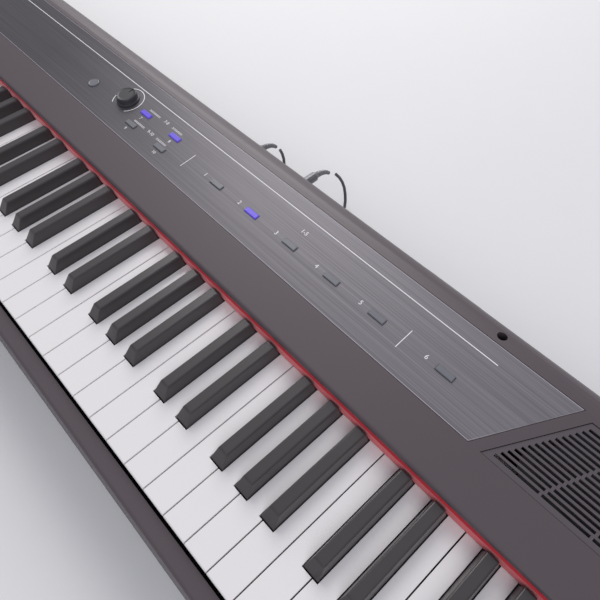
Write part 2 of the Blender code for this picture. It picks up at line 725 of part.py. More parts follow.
def natural_key(x0, x1, notch_left, notch_right):
    """A natural's shell, open underneath, with its front skirt and the block that rocks on the hinge rail."""
    front, notch_y = WHITE_FRONT_Y, SHARP_FRONT_Y - 0.0009
    block_y, hinge_front, rear = HINGE_Y - 0.0125, HINGE_Y - 0.0065, HINGE_Y + 0.0115
    low, mid, top = WHITE_TOP_Z - WHITE_FRONT_SKIRT, WHITE_TOP_Z - WHITE_SKIRT, WHITE_TOP_Z
    ceiling, w = WHITE_TOP_Z - WHITE_PLATE, WHITE_WALL
    xl, xr = x0 + notch_left, x1 - notch_right
    right = [(x1, notch_y, mid), (xr, notch_y, mid)] if notch_right else []
    left = [(xl, notch_y, mid), (x0, notch_y, mid)] if notch_left else []
    outer = [(x0, front, low), (x1, front, low), *right, (xr, block_y, mid), (xl, block_y, mid), *left]
    right_in = [(x1 - w, notch_y - w, mid), (xr - w, notch_y - w, mid)] if notch_right else []
    left_in = [(xl + w, notch_y - w, mid), (x0 + w, notch_y - w, mid)] if notch_left else []
    inner = [(x0 + w, front + w, low), (x1 - w, front + w, low), *right_in, (xr - w, block_y - w, mid), (xl + w, block_y - w, mid), *left_in]
    count = len(outer)
    vertices = outer + inner + [(x, y, ceiling) for x, y, _ in inner]
    faces = [list(range(2 * count, 3 * count))]
    for i in range(count):
        j = (i + 1) % count
        faces.append([i, j, count + j, count + i])
        faces.append([count + i, count + j, 2 * count + j, 2 * count + i])
    rear_right, rear_left = 2 + len(right), 3 + len(right)
    base = len(vertices)
    vertices += [(xr, hinge_front, HINGE_Z), (xr, rear, HINGE_Z), (xl, rear, HINGE_Z), (xl, hinge_front, HINGE_Z)]
    faces += [[rear_right, base, base + 3, rear_left], [base, base + 1, base + 2, base + 3]]
    # The top face and the rounded front edge.
    edge = [(0.0, -0.0012), (0.00035, -0.00035), (0.0012, 0.0)]
    nose = len(vertices)
    for x in (x0, x1):
        vertices += [(x, front + dy, top + dz) for dy, dz in edge]
    for k in range(2):
        faces.append([nose + k, nose + k + 1, nose + k + 4, nose + k + 3])
    faces.append([0, 1, nose + 3, nose])
    upper = len(vertices)
    vertices += [(x, y, top) for x, y, _ in outer[2:]]
    vertices += [(xr, rear, top), (xl, rear, top)]
    upper_of = {i: upper + i - 2 for i in range(2, count)}
    top_rear_right, top_rear_left = len(vertices) - 2, len(vertices) - 1
    lid = [nose + 2, nose + 5, *(upper_of[i] for i in range(2, 2 + len(right)))]
    lid += [top_rear_right, top_rear_left, *(upper_of[i] for i in range(rear_left + 1, count))]
    faces.append(lid)
    first_right = 2 if right else None
    last_left = count - 1 if left else None
    right_top = [upper_of[2]] if right else [top_rear_right]
    right_low = [2] if right else [base + 1, base, rear_right]
    faces.append([1, nose + 3, nose + 4, nose + 5, *right_top, *right_low])
    left_top = [upper_of[count - 1]] if left else [top_rear_left]
    left_low = [count - 1] if left else [base + 2, base + 3, rear_left]
    faces.append([0, nose, nose + 1, nose + 2, *left_top, *left_low])
    if first_right:
        faces.append([2, 3, upper_of[3], upper_of[2]])
        faces.append([3, rear_right, base, base + 1, top_rear_right, upper_of[3]])
    if last_left:
        faces.append([count - 1, count - 2, upper_of[count - 2], upper_of[count - 1]])
        faces.append([count - 2, rear_left, base + 3, base + 2, top_rear_left, upper_of[count - 2]])
    faces.append([base + 1, base + 2, top_rear_left, top_rear_right])
    used = sorted({i for face in faces for i in face})
    renumber = {old: new for new, old in enumerate(used)}
    return [vertices[i] for i in used], [[renumber[i] for i in face] for face in faces]


def sharp_key(x):
    """A sharp: a tapered cap with a sloping front, and the stem that runs back under the lip to the hinge."""
    half, top_half = SHARP_BASE_WIDTH / 2, SHARP_TOP_WIDTH / 2
    base, crown = WHITE_TOP_Z, WHITE_TOP_Z + SHARP_HEIGHT
    front, rear = SHARP_FRONT_Y, SHARP_REAR_Y
    stem_top = base - SHARP_STEM_DROP
    foot = WHITE_TOP_Z - WHITE_SKIRT + 0.001
    spine_front, tail = HINGE_Y - 0.005, HINGE_Y + 0.006
    spine_top = WHITE_TOP_Z + 0.0064
    side = [
        (rear, base),
        (front, base),
        (front, foot),
        (HINGE_Y - 0.0105, foot),
        (HINGE_Y - 0.0065, HINGE_Z),
        (tail, HINGE_Z),
        (tail, spine_top),
        (spine_front, spine_top),
        (spine_front - 0.0015, stem_top),
        (rear, stem_top),
    ]
    count = len(side)
    vertices = [(x - half, y, z) for y, z in side] + [(x + half, y, z) for y, z in side]
    faces = [list(range(count)), list(range(2 * count - 1, count - 1, -1))]
    for i in range(1, count):
        j = (i + 1) % count
        faces.append([i, j, j + count, i + count])
    levels = [(front, rear, half, base), (front + 0.0067, rear - 0.0010, top_half + 0.0002, crown - 0.0012)]
    levels.append((front + 0.0076, rear - 0.0019, top_half - 0.0002, crown - 0.0003))
    levels.append((front + 0.0089, rear - 0.0030, top_half - 0.0010, crown))
    lower = [1, 0, count, count + 1]
    for y0, y1, w, z in levels[1:]:
        start = len(vertices)
        vertices += [(x - w, y0, z), (x - w, y1, z), (x + w, y1, z), (x + w, y0, z)]
        upper = [start, start + 1, start + 2, start + 3]
        for k in range(4):
            j = (k + 1) % 4
            faces.append([lower[k], lower[j], upper[j], upper[k]])
        lower = upper
    faces.append(lower)
    return vertices, faces


def key_places():
    """Every key as (octave number, name, left edge or centre), from the lowest A to the highest C."""
    keys = []
    for octave in range(9):
        c = -KEYBOARD_HALF + 2 * KEY_PITCH + (octave - 1) * OCTAVE
        for i, name in enumerate(NATURAL_NAMES):
            if abs(c + (i + 0.5) * KEY_PITCH) < KEYBOARD_HALF:
                keys.append((octave, name, c + i * KEY_PITCH))
        for name, offset in SHARP_OFFSETS.items():
            if abs(c + offset) < KEYBOARD_HALF - KEY_PITCH * 0.7:
                keys.append((octave, name, c + offset * KEY_PITCH / 0.0235))
    return keys


def natural_at(octave, name, left):
    """A natural's solid, with a notch on each side that has a sharp."""
    c = left - NATURAL_NAMES.index(name) * KEY_PITCH
    slot = SHARP_BASE_WIDTH / 2 + SHARP_SLOT_GAP
    sharps = {n: c + offset * KEY_PITCH / 0.0235 for n, offset in SHARP_OFFSETS.items()}
    x0, x1 = left + KEY_GAP / 2, left + KEY_PITCH - KEY_GAP / 2
    notch_left = sharps[LEFT_SHARP[name]] + slot - x0 if name in LEFT_SHARP and (octave, name) != (0, "A") else 0
    notch_right = x1 - sharps[RIGHT_SHARP[name]] + slot if name in RIGHT_SHARP and octave != 8 else 0
    return natural_key(x0, x1, notch_left, notch_right)


def hinge_point(solids):
    xs = [v[0] for points, _ in solids for v in points]
    return ((min(xs) + max(xs)) / 2, HINGE_Y, HINGE_Z)


def make_comb(name, solids, sharps):
    """Several keys moulded as one comb: their rear ends are joined by a bar."""
    material = black_plastic(name) if sharps else white_plastic(name)
    comb = piece(name, solids, material, origin=hinge_point(solids))
    xs = [v[0] for points, _ in solids for v in points]
    x0, x1 = min(xs) + 0.002, max(xs) - 0.002
    if sharps:
        bar = box(x0, x1, HINGE_Y - 0.0035, HINGE_Y + 0.0045, WHITE_TOP_Z + 0.0012, WHITE_TOP_Z + 0.0056)
    else:
        bar = box(x0, x1, HINGE_Y + 0.0112 - SPINE_DEPTH, HINGE_Y + 0.0112, HINGE_Z + 0.0004, WHITE_TOP_Z - 0.0004)
    fuse(comb, [bar])


def make_keys():
    """One octave of keys that move alone, and a comb of naturals and a comb of sharps for every other octave."""
    groups = {}
    for octave, name, x in key_places():
        solid = sharp_key(x) if name in SHARP_OFFSETS else natural_at(octave, name, x)
        if octave == 6:
            material = black_plastic(f"key_{name}6") if name in SHARP_OFFSETS else white_plastic(f"key_{name}6")
            piece(f"key_{name}6", [solid], material, origin=hinge_point([solid]))
            continue
        home = {0: 1, 8: 7}.get(octave, octave)
        groups.setdefault((home, name in SHARP_OFFSETS), []).append(solid)
    for (home, sharps), solids in groups.items():
        make_comb(f"{'sharps' if sharps else 'naturals'}_{home}", solids, sharps)


def make_felt():
    low = WHITE_TOP_Z + FELT_BOTTOM_GAP
    rear = LIP_Y + LIP_RADIUS - GAP
    strip = box(-WELL_HALF + 0.0005, WELL_HALF - 0.0005, rear - FELT_THICKNESS, rear, low, low + FELT_HEIGHT)
    piece("felt_strip", [strip], red_felt("felt_strip"))


def sheet(path, thickness):
    """A folded sheet's section: the path offset to both sides, with mitred bends."""
    def offset(distance):
        points = []
        for i, (y, z) in enumerate(path):
            before = Vector((y, z)) - Vector(path[max(i - 1, 0)])
            after = Vector(path[min(i + 1, len(path) - 1)]) - Vector((y, z))
            along = (before.normalized() + after.normalized()).normalized()
            normal = Vector((-along.y, along.x))
            reference = after.normalized() if after.length else before.normalized()
            scale = distance / max(0.3, normal.dot(Vector((-reference.y, reference.x))))
            points.append(tuple(Vector((y, z)) + normal * scale))
        return points

    return offset(-thickness / 2) + offset(thickness / 2)[::-1]


CONTACT_Y = 0.022
CONTACT_Z = 0.0415


def make_key_bed():
    """The folded steel bed: front flange, raised shelf for the contact board and the hinge rail."""
    low = BED_FLOOR_Z
    rail_top = HINGE_Z - GAP - BED_THICKNESS / 2
    path = [
        (BED_FRONT_Y, low + 0.0055),
        (BED_FRONT_Y, low),
        (-CONTACT_Y - 0.008, low),
        (-CONTACT_Y, CONTACT_Z),
        (CONTACT_Y, CONTACT_Z),
        (CONTACT_Y + 0.008, low),
        (HINGE_Y - 0.0035, low),
        (HINGE_Y - 0.0035, rail_top),
        (HINGE_Y + 0.0035, rail_top),
        (HINGE_Y + 0.0035, low),
        (HINGE_Y + 0.0145, low),
    ]
    bed = piece("key_bed", [prism(sheet(path, BED_THICKNESS), "X", -BED_LENGTH_HALF, BED_LENGTH_HALF)], zinc_steel("key_bed"))
    guides = []
    for octave, name, x in key_places():
        y = SHARP_FRONT_Y + 0.012 if name in SHARP_OFFSETS else WHITE_FRONT_Y + 0.018
        if name in SHARP_OFFSETS:
            continue
        centre = x + KEY_PITCH / 2
        guides.append(box(centre - 0.0045, centre + 0.0045, y - 0.004, y + 0.004, low, WHITE_TOP_Z - 0.0130))
    fuse(bed, guides)


def make_contact_board():
    """The board under the keys, with one rubber dome per key."""
    foot = CONTACT_Z + BED_THICKNESS / 2 + GAP
    top = foot + BOARD_THICKNESS
    board = piece("contact_board", [box(-BED_LENGTH_HALF, BED_LENGTH_HALF, -0.019, 0.019, foot, top)], board_laminate("contact_board"))
    domes = []
    for octave, name, x in key_places():
        sharp = name in SHARP_OFFSETS
        centre = x if sharp else x + KEY_PITCH / 2
        y = 0.009 if sharp else -0.008
        levels = [(0.004, top - 0.0008), (0.004, top + 0.0006), (0.0026, top + 0.0022)]
        rings = [[(centre + r, y + r, z), (centre - r, y + r, z), (centre - r, y - r, z), (centre + r, y - r, z)] for r, z in levels]
        domes.append(loft(rings))
    fuse(board, domes)


JACK_BOARD_Z = SOCKET_Z - 0.0080
JACK_POSTS = [(x, y) for x in (-0.040, 0.060, 0.198) for y in (0.112, 0.139)]


def make_jack_board():
    """The rear board with its socket blocks, each bored along Y."""
    face = REAR_Y - WALL - GAP
    foot, top = JACK_BOARD_Z, JACK_BOARD_Z + BOARD_THICKNESS
    board = piece("jack_board", [box(-0.046, 0.204, 0.106, face - 0.0005, foot, top)], board_laminate("jack_board"))
    inside = top - BOARD_THICKNESS / 2
    sockets = [POWER_SOCKET_X, AUDIO_SOCKET_X, *SPARE_SOCKETS]
    fuse(board, [box(x - 0.007, x + 0.007, face - SOCKET_LENGTH, face, inside, SOCKET_Z + 0.007) for x in sockets])
    bores = []
    for x in sockets:
        radius = BARREL_RADIUS if x == POWER_SOCKET_X else JACK_RADIUS
        bores.append(turned([(radius, face - SOCKET_LENGTH - 0.001), (radius, face + 0.001)], 18, "Y", (x, 0, SOCKET_Z)))
    cut(board, bores)


# Cords


def relief_rings(x, start, turn, count, first_radius):
    """The ribbed sleeve behind a plug, which tapers and droops a little."""
    rings = []
    y, z, angle = start[0], start[1], 0.0
    step = 0.0016
    for k in range(count):
        taper = first_radius - (first_radius - CORD_RADIUS - 0.0004) * k / (count - 1)
        radius = taper if k % 2 == 0 else taper - 0.0005
        rings.append(ring((x, y, z), radius, radius, 12, "Y", tilt=-angle))
        if k == count - 1:
            break
        angle = turn * (k + 1) / count
        y += step * math.cos(angle)
        z -= step * math.sin(angle)
    exits = [(x, y + t * math.cos(angle), z - t * math.sin(angle)) for t in (1.2 * GAP, 1.5 * CORD_RADIUS)]
    return rings, exits


def make_plug(name, x, pin_radius, pin_length, body_radius, body_length):
    face = REAR_Y + GAP
    z = SOCKET_Z
    body = [(pin_radius, REAR_Y - pin_length), (pin_radius, face), (body_radius * 0.92, face), (body_radius, face + 0.001)]
    body += [(body_radius, face + body_length - 0.0012), (body_radius * 0.8, face + body_length)]
    rings = [ring((x, t, z), r, r, 12, "Y") for r, t in body]
    sleeve, exits = relief_rings(x, (face + body_length + 0.0012, z), PLUG_DROOP[name], 13, 0.0034)
    piece(name, [loft(rings + sleeve)], cord_rubber(name))
    return exits


PLUG_DROOP = {"power_plug": math.radians(48), "audio_plug": math.radians(52)}
POWER_ROUTE = [
    (0.1824, 0.2003, 0.0398),
    (0.1842, 0.2040, 0.0340),
    (0.1862, 0.2066, 0.0272),
    (0.1882, 0.2078, 0.0200),
    (0.1905, 0.2072, 0.0130),
    (0.1938, 0.2046, 0.0070),
    (0.1975, 0.2000, 0.0036),
    (0.2003, 0.1940, 0.0024),
    (0.2020, 0.1875, 0.0023),
    (0.2040, 0.1812, 0.0027),
    (0.2070, 0.1755, 0.0036),
    (0.2113, 0.1707, 0.0048),
    (0.2170, 0.1682, 0.0055),
    (0.2230, 0.1675, 0.0057),
    (0.2275, 0.1675, 0.0057),
]
AUDIO_ROUTE = [
    (0.1140, 0.1838, 0.0398),
    (0.1147, 0.1858, 0.0337),
    (0.1154, 0.1869, 0.0265),
    (0.1155, 0.1870, 0.0192),
    (0.1144, 0.1862, 0.0125),
    (0.1118, 0.1843, 0.0072),
    (0.1080, 0.1805, 0.0044),
    (0.1035, 0.1756, 0.0038),
    (0.0988, 0.1712, 0.0044),
    (0.0935, 0.1683, 0.0052),
    (0.0880, 0.1675, 0.0057),
    (0.0835, 0.1675, 0.0057),
]


def make_cord(name, route):
    """A round tube along a route of points."""
    curve = bpy.data.curves.new(name, "CURVE")
    curve.dimensions = "3D"
    curve.bevel_depth = CORD_RADIUS
    curve.bevel_resolution = 2
    curve.use_fill_caps = True
    spline = curve.splines.new("POLY")
    spline.points.add(len(route) - 1)
    for point, place in zip(spline.points, route):
        point.co = (*place, 1.0)
    obj = bpy.data.objects.new(name, curve)
    bpy.context.scene.collection.objects.link(obj)
    curve.materials.append(cord_rubber(name))


def hank_outline(length, width):
    """A bundle's outline from above: straight runs between two round ends."""
    r = width / 2
    points = []
    for end in (1, -1):
        for k in range(9):
            turn = -math.pi / 2 + math.pi * k / 8 if end > 0 else math.pi / 2 + math.pi * k / 8
            points.append((end * (length / 2 - r) + r * math.cos(turn), r * math.sin(turn)))
    return points


def make_hank(name, centre_x):
    outline = hank_outline(HANK_LENGTH, HANK_WIDTH)
    low = GAP
    rings = []
    for shrink, z in ((0.0010, low), (0.0, low + 0.0012), (0.0, low + HANK_HEIGHT - 0.0012), (0.0010, low + HANK_HEIGHT)):
        rings.append([(centre_x + x, HANK_Y + y, z) for x, y in inset(outline, shrink)])
    piece(name, [loft(rings)], cord_rubber(name))


def make_adapter(start_x):
    """The wall adapter on its side: a rounded body, a lead sleeve towards the hank and two prongs."""
    low = GAP
    body_x = start_x + 0.012
    outline = rounded([(0.1535, low, 0.003), (0.1815, low, 0.003), (0.1815, low + 0.030, 0.003), (0.1535, low + 0.030, 0.003)], 3)
    adapter = piece("power_adapter", [prism(outline, "X", body_x, body_x + 0.060)], cord_rubber("power_adapter"))
    sleeve = turned([(0.0022, start_x), (0.0034, start_x + 0.010), (0.0034, body_x + 0.001)], 12, "X", (0, HANK_Y, 0.0055))
    prongs = [box(body_x + 0.058, body_x + 0.076, y - 0.0008, y + 0.0008, 0.012, 0.0182) for y in (0.1612, 0.1738)]
    fuse(adapter, [sleeve, *prongs])


def make_far_plug(end_x):
    """The audio lead's other plug, lying behind the case."""
    z, y = 0.0054, HANK_Y
    profile = [(0.0022, end_x), (0.0034, end_x - 0.012), (0.0045, end_x - 0.014), (0.0050, end_x - 0.016), (0.0050, end_x - 0.034)]
    profile += [(0.0031, end_x - 0.036), (0.0031, end_x - 0.062), (0.0021, end_x - 0.0635), (0.0030, end_x - 0.065), (0.0008, end_x - 0.068)]
    piece("audio_far_plug", [turned(profile, 14, "X", (0, y, z))], cord_rubber("audio_far_plug"))


def make_cords():
    power_exit = make_plug("power_plug", POWER_SOCKET_X, 0.0027, 0.0110, 0.0048, 0.0245)
    audio_exit = make_plug("audio_plug", AUDIO_SOCKET_X, 0.0031, 0.0270, 0.0048, 0.0130)
    make_cord("power_lead", [*power_exit, *POWER_ROUTE])
    make_cord("audio_lead", [*audio_exit, *AUDIO_ROUTE])
    power_hank_x = POWER_ROUTE[-1][0] + GAP + HANK_LENGTH / 2
    make_hank("power_lead_hank", power_hank_x)
    make_adapter(power_hank_x + HANK_LENGTH / 2 + GAP)
    audio_hank_x = AUDIO_ROUTE[-1][0] - GAP - HANK_LENGTH / 2
    make_hank("audio_lead_hank", audio_hank_x)
    make_far_plug(audio_hank_x - HANK_LENGTH / 2 - GAP)


def main():
    for obj in list(bpy.data.objects):
        bpy.data.objects.remove(obj, do_unlink=True)
    deck = empty("deck_frame", (0, LIP_Y, LIP_Z), (DECK_ANGLE, 0, 0))
    make_case_top(deck)
    make_case_bottom()
    make_feet()
    make_control_panel(deck)
    make_buttons(deck)
    make_power_button(deck)
    make_volume_knob(deck)
    make_control_board(deck)
    for side, word in ((-1, "left"), (1, "right")):
        make_grille(f"grille_{word}", side, deck)
        make_speaker(f"speaker_{word}", side, deck)
    make_felt()
    make_key_bed()
    make_contact_board()
    make_jack_board()
    make_keys()
    make_cords()


main()
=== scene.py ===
import math

import bpy
from bpy.props import FloatProperty, FloatVectorProperty, PointerProperty
from mathutils import Matrix, Vector


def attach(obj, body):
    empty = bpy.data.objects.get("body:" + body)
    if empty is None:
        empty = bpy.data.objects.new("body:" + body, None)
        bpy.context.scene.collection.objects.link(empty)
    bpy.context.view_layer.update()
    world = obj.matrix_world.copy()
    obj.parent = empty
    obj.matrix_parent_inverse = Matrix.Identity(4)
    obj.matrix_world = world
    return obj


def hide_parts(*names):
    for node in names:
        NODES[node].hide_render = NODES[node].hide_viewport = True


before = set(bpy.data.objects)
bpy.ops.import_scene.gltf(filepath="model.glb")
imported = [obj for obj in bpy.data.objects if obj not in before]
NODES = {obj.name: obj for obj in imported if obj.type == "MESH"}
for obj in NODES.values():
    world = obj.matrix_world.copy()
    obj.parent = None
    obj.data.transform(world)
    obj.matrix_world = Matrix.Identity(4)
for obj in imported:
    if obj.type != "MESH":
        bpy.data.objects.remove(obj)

bl_info = {
    "name": "Digital Piano Dresser",
    "version": (1, 0, 0),
    "blender": (4, 5, 0),
    "location": "View3D > Sidebar > Piano",
    "description": "Gives the packed digital piano its materials, printed marks, cords and studio",
    "category": "Object",
}

# Sizes repeated from the part, in metres.
LIP_Y = 0.0095
LIP_Z = 0.083
DECK_SLOPE = 0.0935
PANEL_TOP = -0.0002
BUTTON_ROW_V = 0.0664
VOICE_X = 0.1544
VOICE_PITCH = 0.04935
VOICE_BUTTONS = 5
SPLIT_X = 0.4172
MODE_X = 0.0258
MODE_PITCH = 0.0497
MODE_ROWS = (0.0765, 0.0577)
KNOB_X = -0.0075
KNOB_V = 0.0764
PANEL_FRONT_V = 0.0393
PANEL_REAR_V = 0.1100
PANEL_FRONT_HALF = 0.4588
PANEL_SPREAD = 0.564
CORD_RADIUS = 0.0016
HANK_Y = 0.1675
HANK_LENGTH = 0.085
GAP = 0.0003

# Each bundle: half its straight run, the heights of its layers, and the radii of its turns.
HANK_RUN = 0.028
HANK_LOW = 0.0019
HANK_MID = 0.0057
HANK_HIGH = 0.0095
TURN_INNER = 0.0096
TURN_OUTER = 0.0129
TIP_STEPS = 12

# Where the cord changes lane along a bundle, from the bundle's middle.
ENTRY_END_X = -0.020
LOW_SHIFT_X = (-0.008, 0.020)
RISE_END_X = 0.008
HIGH_SHIFT_END_X = -0.006
LEAVE_Y = 0.0058
LEAVE_END_X = 0.034

# The band round each bundle.
TIE_SIDE = 0.0148
TIE_BOTTOM = 0.00015
TIE_TOP = 0.0114
TIE_HALF_WIDTH = 0.002
TIE_THICKNESS = 0.0005

# Printing on the panel: lines as (left, right, v), sizes in metres and angles in degrees.
PRINT_LIFT = 0.00006
LONG_LINE = (-0.4390, 0.4392, 0.0964)
LONG_LINE_WIDTH = 0.0007
SEPARATOR_X = (0.1100, 0.3783)
SEPARATOR_V = (0.0573, 0.0758)
SEPARATOR_WIDTH = 0.0006
BRACKETS = (
    (0.0234, 0.0410, 0.0830),
    (0.0620, 0.0779, 0.0830),
    (0.0233, 0.0410, 0.0634),
    (0.0620, 0.0779, 0.0634),
)
BRACKET_WIDTH = 0.0004
BRACKET_OFFSET = 0.0006
NUMBER_SIZE = 0.0058
NUMBER_SETBACK = 0.0175
NUMBER_LIFT = 0.0005
MODE_NUMBER_SIZE = 0.0048
MODE_NUMBER_DROP = 0.0072
FIRST_MODE_NUMBER = 7
HEADINGS = (
    ("voice_heading", "1-5", 0.2530, 0.0836, 0.0056),
    ("upper_heading", "7-8", 0.0516, 0.0832, 0.0052),
    ("lower_heading", "9-10", 0.0516, 0.0636, 0.0052),
)
ARC_RADIUS = 0.0170
ARC_START = 230
ARC_SWEEP = 280
ARC_STEPS = 24
ARC_WIDTH = 0.0008
# A light line along the panel's edge: a painted highlight where light catches the edge, drawn like print.
HIGHLIGHT_INSET = 0.0004
HIGHLIGHT_WIDTH = 0.0005

# The studio.
FLOOR_HALF = 4.0
FLOOR_Z = -0.0005
CAMERA_LENS = 34.504
CAMERA_PLACE = (0.49469, -0.12091, 0.45288)
CAMERA_RIGHT = (0.67524, 0.73711, -0.02684)
CAMERA_UP = (-0.59369, 0.56473, 0.57324)
CAMERA_BACK = (0.43770, -0.37114, 0.81895)

# The routes of the two leads, as in the part.
POWER_ROUTE = [
    (0.1824, 0.2003, 0.0398),
    (0.1842, 0.2040, 0.0340),
    (0.1862, 0.2066, 0.0272),
    (0.1882, 0.2078, 0.0200),
    (0.1905, 0.2072, 0.0130),
    (0.1938, 0.2046, 0.0070),
    (0.1975, 0.2000, 0.0036),
    (0.2003, 0.1940, 0.0024),
    (0.2020, 0.1875, 0.0023),
    (0.2040, 0.1812, 0.0027),
    (0.2070, 0.1755, 0.0036),
    (0.2113, 0.1707, 0.0048),
    (0.2170, 0.1682, 0.0055),
    (0.2230, 0.1675, 0.0057),
    (0.2275, 0.1675, 0.0057),
]
AUDIO_ROUTE = [
    (0.1140, 0.1838, 0.0398),
    (0.1147, 0.1858, 0.0337),
    (0.1154, 0.1869, 0.0265),
    (0.1155, 0.1870, 0.0192),
    (0.1144, 0.1862, 0.0125),
    (0.1118, 0.1843, 0.0072),
    (0.1080, 0.1805, 0.0044),
    (0.1035, 0.1756, 0.0038),
    (0.0988, 0.1712, 0.0044),
    (0.0935, 0.1683, 0.0052),
    (0.0880, 0.1675, 0.0057),
    (0.0835, 0.1675, 0.0057),
]

LIT = ("voice_button_2", "mode_button_1", "mode_button_2")


class PianoSettings(bpy.types.PropertyGroup):
    case_colour: FloatVectorProperty(
        name="Case colour",
        description="Colour of the moulded case",
        subtype="COLOR",
        size=3,
        default=(0.088, 0.070, 0.080),
    )
    # The panel's two end colours are painted light: a painted highlight at the treble end and painted shade
    # at the bass end.
    panel_lit_treble: FloatVectorProperty(
        name="Panel, treble end",
        description="Brushed panel's colour at the treble end",
        subtype="COLOR",
        size=3,
        default=(0.200, 0.188, 0.208),
    )
    panel_shaded_bass: FloatVectorProperty(
        name="Panel, bass end",
        description="Brushed panel's colour at the bass end",
        subtype="COLOR",
        size=3,
        default=(0.082, 0.076, 0.086),
    )
    felt_colour: FloatVectorProperty(
        name="Felt colour",
        description="Colour of the strip behind the keys",
        subtype="COLOR",
        size=3,
        default=(0.760, 0.040, 0.062),
    )
    glow_colour: FloatVectorProperty(
        name="Lit buttons",
        description="Colour of the buttons that are lit",
        subtype="COLOR",
        size=3,
        default=(0.110, 0.070, 0.560),
    )
    glow_strength: FloatProperty(
        name="Button glow",
        description="How bright the lit buttons are",
        default=0.35,
        min=0.0,
        max=4.0,
    )
    key_round: FloatProperty(
        name="Key edge round",
        description="Round on the edges of the keys",
        default=0.0006,
        min=0.0001,
        max=0.002,
        unit="LENGTH",
    )


def settings():
    return bpy.context.scene.piano_settings


# Shared effects


def socket(group, name, in_out, kind, default=None):
    made = group.interface.new_socket(name=name, in_out=in_out, socket_type=kind)
    if default is not None:
        made.default_value = default


def moulded_group():
    """Fine moulded grain: mottles a colour a little and gives a roughness and a bump height."""
    if "moulded_grain" in bpy.data.node_groups:
        return bpy.data.node_groups["moulded_grain"]
    group = bpy.data.node_groups.new("moulded_grain", "ShaderNodeTree")
    socket(group, "Color", "INPUT", "NodeSocketColor")
    socket(group, "Rough", "INPUT", "NodeSocketFloat", 0.5)
    socket(group, "Scale", "INPUT", "NodeSocketFloat", 900.0)
    socket(group, "Mottle", "INPUT", "NodeSocketFloat", 0.12)
    socket(group, "Color", "OUTPUT", "NodeSocketColor")
    socket(group, "Rough", "OUTPUT", "NodeSocketFloat")
    socket(group, "Height", "OUTPUT", "NodeSocketFloat")
    nodes, links = group.nodes, group.links
    enter, leave = nodes.new("NodeGroupInput"), nodes.new("NodeGroupOutput")
    place = nodes.new("ShaderNodeTexCoord")
    fine = nodes.new("ShaderNodeTexNoise")
    fine.inputs["Detail"].default_value = 3.0
    broad = nodes.new("ShaderNodeTexNoise")
    broad.inputs["Scale"].default_value = 9.0
    broad.inputs["Detail"].default_value = 4.0
    links.new(place.outputs["Object"], fine.inputs["Vector"])
    links.new(place.outputs["Object"], broad.inputs["Vector"])
    links.new(enter.outputs["Scale"], fine.inputs["Scale"])
    both = nodes.new("ShaderNodeMath")
    both.operation = "ADD"
    links.new(fine.outputs["Fac"], both.inputs[0])
    links.new(broad.outputs["Fac"], both.inputs[1])
    shade = nodes.new("ShaderNodeMath")
    shade.operation = "MULTIPLY_ADD"
    links.new(both.outputs[0], shade.inputs[0])
    links.new(enter.outputs["Mottle"], shade.inputs[1])
    base = nodes.new("ShaderNodeMath")
    base.operation = "SUBTRACT"
    base.inputs[0].default_value = 1.0
    links.new(enter.outputs["Mottle"], base.inputs[1])
    links.new(base.outputs[0], shade.inputs[2])
    tint = nodes.new("ShaderNodeVectorMath")
    tint.operation = "SCALE"
    links.new(enter.outputs["Color"], tint.inputs[0])
    links.new(shade.outputs[0], tint.inputs["Scale"])
    links.new(tint.outputs[0], leave.inputs["Color"])
    rough = nodes.new("ShaderNodeMath")
    rough.operation = "MULTIPLY"
    links.new(enter.outputs["Rough"], rough.inputs[0])
    links.new(shade.outputs[0], rough.inputs[1])
    links.new(rough.outputs[0], leave.inputs["Rough"])
    links.new(fine.outputs["Fac"], leave.inputs["Height"])
    return group


def material(name, colour, rough, metallic=0.0, grain=900.0, mottle=0.12, bump=0.00004, coat=0.0):
    """A moulded, painted or rubber surface made with the shared grain."""
    made = bpy.data.materials.new(name)
    made.use_nodes = True
    nodes, links = made.node_tree.nodes, made.node_tree.links
    shader = nodes["Principled BSDF"]
    shader.inputs["Metallic"].default_value = metallic
    shader.inputs["Coat Weight"].default_value = coat
    group = nodes.new("ShaderNodeGroup")
    group.node_tree = moulded_group()
    group.inputs["Color"].default_value = (*colour, 1.0)
    group.inputs["Rough"].default_value = rough
    group.inputs["Scale"].default_value = grain
    group.inputs["Mottle"].default_value = mottle
    links.new(group.outputs["Color"], shader.inputs["Base Color"])
    links.new(group.outputs["Rough"], shader.inputs["Roughness"])
    dent = nodes.new("ShaderNodeBump")
    dent.inputs["Distance"].default_value = bump
    dent.inputs["Strength"].default_value = 0.5
    links.new(group.outputs["Height"], dent.inputs["Height"])
    links.new(dent.outputs["Normal"], shader.inputs["Normal"])
    return made


